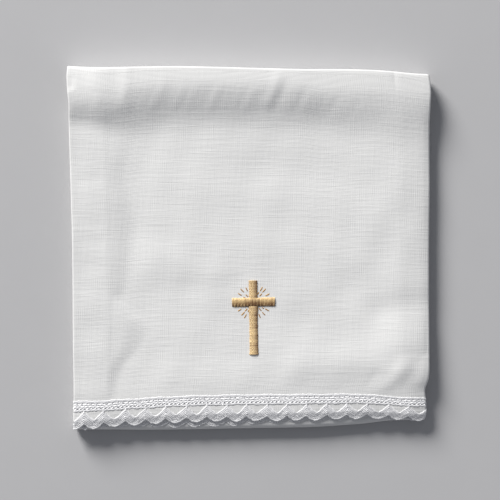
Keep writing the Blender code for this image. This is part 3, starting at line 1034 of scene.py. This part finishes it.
# Cross, in millimetres from the middle of the packet: its centre, the lengths of its arms and their tilts
CROSS_X = 2.0
CROSS_Y = -24.95
ARM_UP = 9.9
FOOT_DOWN = 24.2
ARM_SIDE = 9.85
BAR_TILT = tan(radians(1.2))
STEM_TILT = tan(radians(0.7))

# The stem is a little wider at its foot, and again from a place near the bar up to the bar
FOOT_FLARE = 0.2
FOOT_FLARE_RUN = 0.9
STEM_SWELL = 0.25
SWELL_START = -6.5
SWELL_RUN = 3

# The bar's stitches rise to a boss over the stem and gather in bundles, less so on the right
BOSS = 0.3
BOSS_REACH = 2.3
BUNDLE = 1.5
BUNDLE_ON_RIGHT = 0.4

# Satin stitches go a little past the outline, with ragged ends, and sway across, along and in their
# direction
PAST_OUTLINE = 0.08
RAGGED = 0.055
BUNDLE_RAGGED = 0.16
SWAY_ACROSS = 0.02
SWAY_ALONG = 0.025
SWAY_TURN = 0.03
SATIN_ARCH_POWER = 0.8
SATIN_ENDS_SUNK = 0.12
RAY_ENDS_SUNK = 0.05

# Tone of the satin stitch in the light, its scatter, and the faint change along the arms
SATIN_TONE = 0.74
TONE_SCATTER = 0.13
TONE_CHANGE = 0.03

# Half width and half height of a satin stitch and of a ray, and the padding threads under the satin stitch
SATIN_HALF = (0.225, 0.17)
PADDING_HALF = 0.5
PADDING_LANES = 5
# Painted shade: the padding threads are coloured dark, so that the gaps between the satin stitches look
# shaded
PADDING_SHADE_TONE = 0.2
PADDING_SUNK = 0.05
RAY_HALF = (0.23, 0.1)
RAY_ARCH = 0.08

# Rays in each quarter between the arms: angle, and how far out they start and end. Their colour holds a
# painted sheen: rays that lie across the light are brightest, rays along it darkest
RAYS = table("angle near far", (
    (27, 6.1, 8.1), (45, 6.0, 8.1), (62, 6.0, 8.1), (44, 3.7, 5.5), (61, 4.3, 5.5),
))
PAINTED_RAY_SHINE = radians(32)
RAY_SHEEN_TONE = 0.55


def top_of_cloth(x, y, linen):
    """Height of the cloth's upper face under a point of the embroidery."""
    return TOP_HEIGHT + top_rise(x, y) + (linen.ply_pitch + linen.ply_thickness / 2) / MM


def place_on_cross(mesh, linen, is_bar, along, across, raised, sunk=0.0):
    """Put points at places along and across the bar or the stem of the cross, raised off the cloth."""
    x = np.where(is_bar, along, across)
    y = np.where(is_bar, across, along)
    x, y = CROSS_X + (x - y * STEM_TILT), CROSS_Y + (y + x * BAR_TILT)
    z = top_of_cloth(x, y, linen) + raised - sunk
    write_points(mesh, np.stack([x, y, z], axis=-1) * MM)


def arched(t):
    """Height of an arch over places between -1 and 1."""
    return np.sqrt(np.clip(1 - t * t, 0, 1))


def row_of_stitches(count, steps=12, sides=8):
    """Straight closed threads of unit radius and half length, and the number of each point's thread."""
    deselect_all()
    bpy.ops.mesh.primitive_cylinder_add(vertices=sides, radius=1.0, depth=2.0, end_fill_type="TRIFAN")
    stitches = bpy.context.object
    bpy.ops.object.mode_set(mode="EDIT")
    for i in range(1, steps):
        bpy.ops.mesh.select_all(action="SELECT")
        bpy.ops.mesh.bisect(plane_co=(0, 0, 2.0 * (i / steps - 0.5)), plane_no=(0, 0, 1))
    bpy.ops.mesh.select_all(action="SELECT")
    bpy.ops.transform.rotate(value=pi / 2, orient_axis="Y", center_override=(0, 0, 0))
    bpy.ops.object.mode_set(mode="OBJECT")
    bpy.ops.object.shade_smooth()
    stitches.data.uv_layers[0].name = "thread"

    apart = 10
    each = len(stitches.data.vertices)
    repeat_piece(stitches, count, (0, apart, 0))
    unit = read_points(stitches.data)
    index = np.arange(len(unit)) // each
    unit[:, 1] -= index * apart
    return stitches, unit, index


def set_stitch_tones(mesh, tones):
    """How bright the thread is at each point, for its material: its own tone with painted shade, highlight
    and sheen.
    """
    write(mesh.attributes.new("stitch_tone_and_painted_light", "FLOAT", "POINT").data, "value", tones)


def make_padding(linen, stem, bar, padding):
    """Long threads laid under the satin stitch, which fill it out."""
    threads, unit, index = row_of_stitches(2 * PADDING_LANES, steps=16, sides=6)
    lane = index % PADDING_LANES
    is_bar = index >= PADDING_LANES
    half = np.where(is_bar, bar, stem)
    across = (lane / (PADDING_LANES - 1) * 2 - 1) * (half - 0.55) + unit[:, 1] * PADDING_HALF
    low = np.where(is_bar, -ARM_SIDE, -FOOT_DOWN) + 0.2
    high = np.where(is_bar, ARM_SIDE, ARM_UP) - 0.2
    place = low + (high - low) * (unit[:, 0] + 1) / 2
    arch = np.sqrt(np.clip(1 - (across / (half + 0.1)) ** 2, 0, 1))
    raised = arch * (padding - 0.15) * (0.5 + 0.5 * unit[:, 2])
    place_on_cross(threads.data, linen, is_bar, place, across, raised, PADDING_SUNK)
    # Painted shade: the padding takes a dark tone, which shows in the gaps between the satin stitches
    set_stitch_tones(threads.data, np.full(len(unit), PADDING_SHADE_TONE))
    return threads


class CORPORAL_OT_cross(Operator):
    """Embroider the cross: padded satin stitch across the stem, and over it across the bar."""

    bl_idname = "corporal.cross"
    bl_label = "Embroidered Cross"

    def execute(self, context):
        settings = context.scene.corporal_cross
        linen = context.scene.corporal_linen
        draw = random.Random(12)
        pitch = settings.stitch_pitch / MM
        padding = settings.padding / MM
        stem = settings.stem_width / MM / 2
        bar = settings.bar_width / MM / 2

        rows = []
        for i in range(round((ARM_UP + FOOT_DOWN) / pitch)):
            place = -FOOT_DOWN + (i + 0.5) * pitch
            if abs(place) < bar - 0.3:
                continue
            wide = STEM_SWELL * smooth_step((place - SWELL_START) / SWELL_RUN) * (place < 0)
            if place < -FOOT_DOWN + FOOT_FLARE_RUN:
                wide = FOOT_FLARE
            rows.append((place, stem + wide, False))
        for i in range(round(2 * ARM_SIDE / pitch)):
            rows.append((-ARM_SIDE + (i + 0.5) * pitch, bar, True))

        stitches, unit, index = row_of_stitches(len(rows))
        place, half, is_bar = (np.array(column)[index] for column in zip(*rows))
        jitter = np.array([[draw.gauss(0, 1) for _ in range(4)] for _ in rows])[index]

        # Ends of the stitches are ragged, and the lower ends on the bar follow the bundles
        t = unit[:, 0]
        bundles = np.sin(2 * pi * place / BUNDLE) * is_bar * np.where(place < 0, 1.0, BUNDLE_ON_RIGHT)
        ragged = np.where(t > 0, jitter[:, 0], jitter[:, 1]) * RAGGED
        ragged = ragged + np.where(t < 0, BUNDLE_RAGGED, 0.0) * bundles
        side = t * (half + ragged + PAST_OUTLINE) + jitter[:, 2] * SWAY_ACROSS
        forward = unit[:, 1] * SATIN_HALF[0] + jitter[:, 3] * SWAY_ALONG + t * jitter[:, 2] * SWAY_TURN
        crossing = np.exp(-(place / BOSS_REACH) ** 4) * is_bar
        raised = (padding + BOSS * crossing) * arched(t) ** SATIN_ARCH_POWER + unit[:, 2] * SATIN_HALF[1]
        raised = raised - SATIN_ENDS_SUNK * np.abs(t) ** 6
        place_on_cross(stitches.data, linen, is_bar, place + forward, side, raised)

        # Painted shade and highlight: stitches are darker where they turn away from the light, in alternate
        # bundles on that side and over the boss. They are lighter on the bar's edge and on the boss's side
        # towards the light, and darker on the stem's edge towards the light
        away = np.where(is_bar, -t, t)
        begins = np.where(is_bar, 0.55, 0.15)
        edge = smooth_step((-away - 0.75) / 0.25)
        shade = 0.55 * smooth_step((away + begins) / 0.95) + np.where(is_bar, -0.15, 0.22) * edge
        shade = shade - 0.40 * bundles * smooth_step((away - 0.1) / 0.5)
        shade = shade + crossing * (0.22 - 0.55 * smooth_step((-away - 0.55) / 0.3))
        tones = SATIN_TONE + TONE_SCATTER * jitter[:, 3] + TONE_CHANGE * np.sin(place * 1.3) - shade
        set_stitch_tones(stitches.data, tones)

        gold = gold_material("gold_thread", settings.twist_and_shade_colour, settings.bright_colour)
        cross = join_pieces([stitches, make_padding(linen, stem, bar, padding)])
        face_outward()
        finish_piece(cross, "satin_cross", gold)
        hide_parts("cross_embroidery")
        return {"FINISHED"}


class CORPORAL_OT_rays(Operator):
    """Sew the short thin ray stitches round the crossing."""

    bl_idname = "corporal.rays"
    bl_label = "Ray Stitches"

    def execute(self, context):
        settings = context.scene.corporal_cross
        linen = context.scene.corporal_linen
        draw = random.Random(5)
        rows = []
        for quarter in range(4):
            for ray in RAYS:
                turn = radians(quarter * 90 + ray.angle + draw.uniform(-3, 3))
                shift = draw.uniform(-0.4, 0.4)
                rows.append((turn, ray.near + shift, ray.far + shift + draw.uniform(-0.2, 0.2)))
        rays, unit, index = row_of_stitches(len(rows), steps=8, sides=6)
        turn, near, far = np.array(rows)[index].T
        t = unit[:, 0]
        out = near + (far - near) * (t + 1) / 2
        side = unit[:, 1] * RAY_HALF[0]
        x = CROSS_X + out * np.cos(turn) - side * np.sin(turn)
        y = CROSS_Y + out * np.sin(turn) + side * np.cos(turn)
        raised = RAY_ARCH * arched(t) + unit[:, 2] * RAY_HALF[1] - RAY_ENDS_SUNK * np.abs(t) ** 6
        z = top_of_cloth(x, y, linen) + raised
        write_points(rays.data, np.stack([x, y, z], axis=-1) * MM)
        # Painted sheen: the tone is highest for rays across the light and nought for rays along it
        set_stitch_tones(rays.data, np.abs(np.cos(turn - PAINTED_RAY_SHINE)) ** 2 * RAY_SHEEN_TONE)
        gold = gold_material("ray_thread", settings.ray_deep_colour, settings.ray_bright_colour)
        finish_piece(rays, "ray_stitches", gold)
        return {"FINISHED"}


# Stage, in metres. The camera stands over the middle of its view and is set for the height of the cloth
FLOOR_SIZE = 6
FLOOR_HEIGHT = -0.0002
KEY_DISTANCE = 5.0
KEY_SIZE = 2.2
KEY_COLOUR = (1.0, 0.985, 0.965)
ROOM_COLOUR = (0.94, 0.97, 1.05, 1)
CAMERA_PLACE = (0.00046, -0.00081, 1.2)
FOCUS_HEIGHT = 0.007
SENSOR_WIDTH = 36.0


class CORPORAL_OT_stage(Operator):
    """Set the plain pale floor, the soft light from the back left and the camera above."""

    bl_idname = "corporal.stage"
    bl_label = "Stage"

    def execute(self, context):
        settings = context.scene.corporal_stage
        deselect_all()
        bpy.ops.mesh.primitive_plane_add(size=FLOOR_SIZE, location=(0, 0, FLOOR_HEIGHT))
        floor = context.object
        floor.name = "floor"
        bpy.ops.object.transform_apply(location=True, rotation=True, scale=True)
        material, shader, wire = start_material("floor")
        grain = noise(wire, wire.node("ShaderNodeTexCoord", output=3), 60.0, 3.0)
        plain = settings.floor_colour
        darker = [part * 0.97 for part in plain[:3]] + [1.0]
        wire.fill(shader, {"Base Color": mixed(wire, 0.5 + grain, darker, plain), "Roughness": 0.9})
        floor.data.materials.append(material)

        deselect_all()
        turn, elevation = settings.key_turn, settings.key_elevation
        level = cos(elevation) * KEY_DISTANCE
        spot = Vector((-sin(turn) * level, cos(turn) * level, sin(elevation) * KEY_DISTANCE))
        bpy.ops.object.light_add(type="AREA", location=spot)
        key = context.object
        key.name = "key_light"
        key.data.shape = "DISK"
        key.data.size = KEY_SIZE
        key.data.energy = settings.key_power
        key.data.color = KEY_COLOUR
        key.rotation_euler = (-spot).to_track_quat("-Z", "Y").to_euler()

        world = bpy.data.worlds.new("soft_room")
        context.scene.world = world
        world.use_nodes = True
        backdrop = world.node_tree.nodes["Background"]
        backdrop.inputs["Color"].default_value = ROOM_COLOUR
        backdrop.inputs["Strength"].default_value = settings.fill

        deselect_all()
        bpy.ops.object.camera_add(location=CAMERA_PLACE, rotation=(0, 0, 0))
        camera = context.object
        camera.name = "camera"
        camera.data.sensor_width = SENSOR_WIDTH
        camera.data.lens = SENSOR_WIDTH * (CAMERA_PLACE[2] - FOCUS_HEIGHT) / settings.view_width
        camera.data.clip_start = 0.05
        camera.data.clip_end = 20.0
        context.scene.camera = camera
        context.scene.view_settings.view_transform = "Standard"
        deselect_all()
        return {"FINISHED"}


class CORPORAL_PT_panel(Panel):
    """Lists the pieces of the corporal and their settings"""

    bl_label = "Folded Corporal"
    bl_idname = "CORPORAL_PT_panel"
    bl_space_type = "VIEW_3D"
    bl_region_type = "UI"
    bl_category = "Corporal"

    def draw(self, context):
        for name, _, operators in GROUPS:
            box = self.layout.box()
            settings = getattr(context.scene, name)
            for key in settings.bl_rna.properties.keys():
                if key not in ("rna_type", "name"):
                    box.prop(settings, key)
            for operator in operators:
                box.operator(operator.bl_idname)


# Settings and operators of each box of the panel
GROUPS = (
    ("corporal_linen", LinenSettings, (CORPORAL_OT_linen,)),
    ("corporal_lace", LaceSettings, (CORPORAL_OT_lace,)),
    ("corporal_cross", CrossSettings, (CORPORAL_OT_cross, CORPORAL_OT_rays)),
    ("corporal_stage", StageSettings, (CORPORAL_OT_stage,)),
)
CLASSES = [cls for _, group, operators in GROUPS for cls in (group, *operators)] + [CORPORAL_PT_panel]


def register():
    for cls in CLASSES:
        bpy.utils.register_class(cls)
    for name, group, _ in GROUPS:
        setattr(bpy.types.Scene, name, PointerProperty(type=group))


def unregister():
    for name, _, _ in GROUPS:
        delattr(bpy.types.Scene, name)
    for cls in reversed(CLASSES):
        bpy.utils.unregister_class(cls)


def main():
    register()
    bpy.ops.corporal.stage()
    bpy.ops.corporal.linen()
    bpy.ops.corporal.lace()
    bpy.ops.corporal.cross()
    bpy.ops.corporal.rays()


if __name__ == "__main__":
    main()
